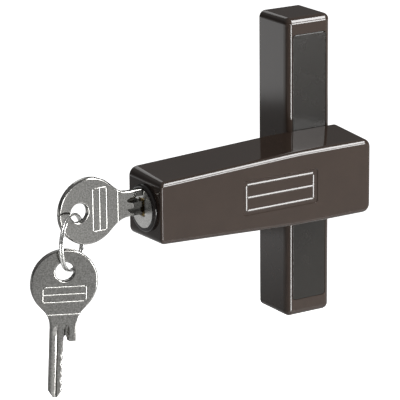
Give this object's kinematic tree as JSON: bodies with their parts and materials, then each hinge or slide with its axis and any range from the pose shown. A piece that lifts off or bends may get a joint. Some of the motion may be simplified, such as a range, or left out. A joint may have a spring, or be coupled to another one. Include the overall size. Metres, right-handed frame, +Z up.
{
  "type": "window latch",
  "caption": "Keyed swing-arm window latch: a screwed base bar carries a pivoting hollow lever whose key cylinder drives a bolt; a spare key hangs from the key's split ring.",
  "frame": {"origin": "on the wall plane behind the base bar, on the axis of the lever's pivot stud", "axes": "+X along the lever towards its short end, +Y into the wall, +Z up along the base bar"},
  "size_m": [0.1457, 0.0419, 0.1243],
  "materials": {
    "dark_paint": "glossy dark brown enamel",
    "cover_plastic": "satin brown moulded plastic",
    "pad_plastic": "white acetal, matt",
    "zinc_steel": "zinc plated, satin",
    "spring_steel": "spring steel, satin",
    "brass": "machined, satin",
    "cap_steel": "stainless, polished",
    "key_steel": "nickel plated, stamped",
    "ring_steel": "nickel plated spring wire, bright"
  },
  "bodies": {
    "base": {"base_body": "dark_paint", "upper_cover": "cover_plastic", "lower_cover": "cover_plastic", "pivot_stud": "zinc_steel", "glide_pad": "pad_plastic", "wave_washer": "spring_steel", "index_disc": "zinc_steel", "stud_nut": "zinc_steel"},
    "lever": {"lever_housing": "dark_paint", "back_plate": "zinc_steel", "back_plate_screws": "zinc_steel", "cylinder_housing": "dark_paint", "cylinder_pin": "spring_steel"},
    "plug": {"lock_plug": "brass", "plug_cap": "cap_steel", "wafer_1": "brass", "wafer_2": "brass", "wafer_3": "brass", "wafer_4": "brass", "wafer_5": "brass", "wafer_springs": "spring_steel", "plug_clip": "spring_steel", "drive_sleeve": "zinc_steel"},
    "bolt": {"locking_bolt": "zinc_steel", "drive_pin": "spring_steel"},
    "key": {"lock_key": "key_steel"},
    "ring": {"key_ring": "ring_steel"},
    "spare": {"spare_key": "key_steel"}
  },
  "joints": [
    {"name": "lever_swing", "type": "hinge", "parent": "base", "child": "lever", "pos_m": [0, 0, 0], "axis": [0, 1, 0], "range_deg": [-90, 90]},
    {"name": "plug_turn", "type": "hinge", "parent": "lever", "child": "plug", "pos_m": [-0.0825, -0.03065, 0], "axis": [-1, 0, 0], "range_deg": [0, 90]},
    {"name": "bolt_slide", "type": "slide", "parent": "lever", "child": "bolt", "axis": [1, 0, 0], "range_m": [0, 0.005]},
    {"name": "key_slide", "type": "slide", "parent": "plug", "child": "key", "axis": [-1, 0, 0], "range_m": [0, 0.03]},
    {"name": "ring_swing", "type": "hinge", "parent": "key", "child": "ring", "pos_m": [-0.1094, -0.03065, 0.0029], "axis": [0, 1, 0], "range_deg": [-50, 50]},
    {"name": "spare_key_swing", "type": "hinge", "parent": "ring", "child": "spare", "pos_m": [-0.11858, -0.03598, -0.01629], "axis": [0.2571, 0.9664, 0], "range_deg": [-30, 30]}
  ],
  "couplings": [
    {"joint": "bolt_slide", "follows": "plug_turn", "m_per_rad": 0.0031831}
  ]
}
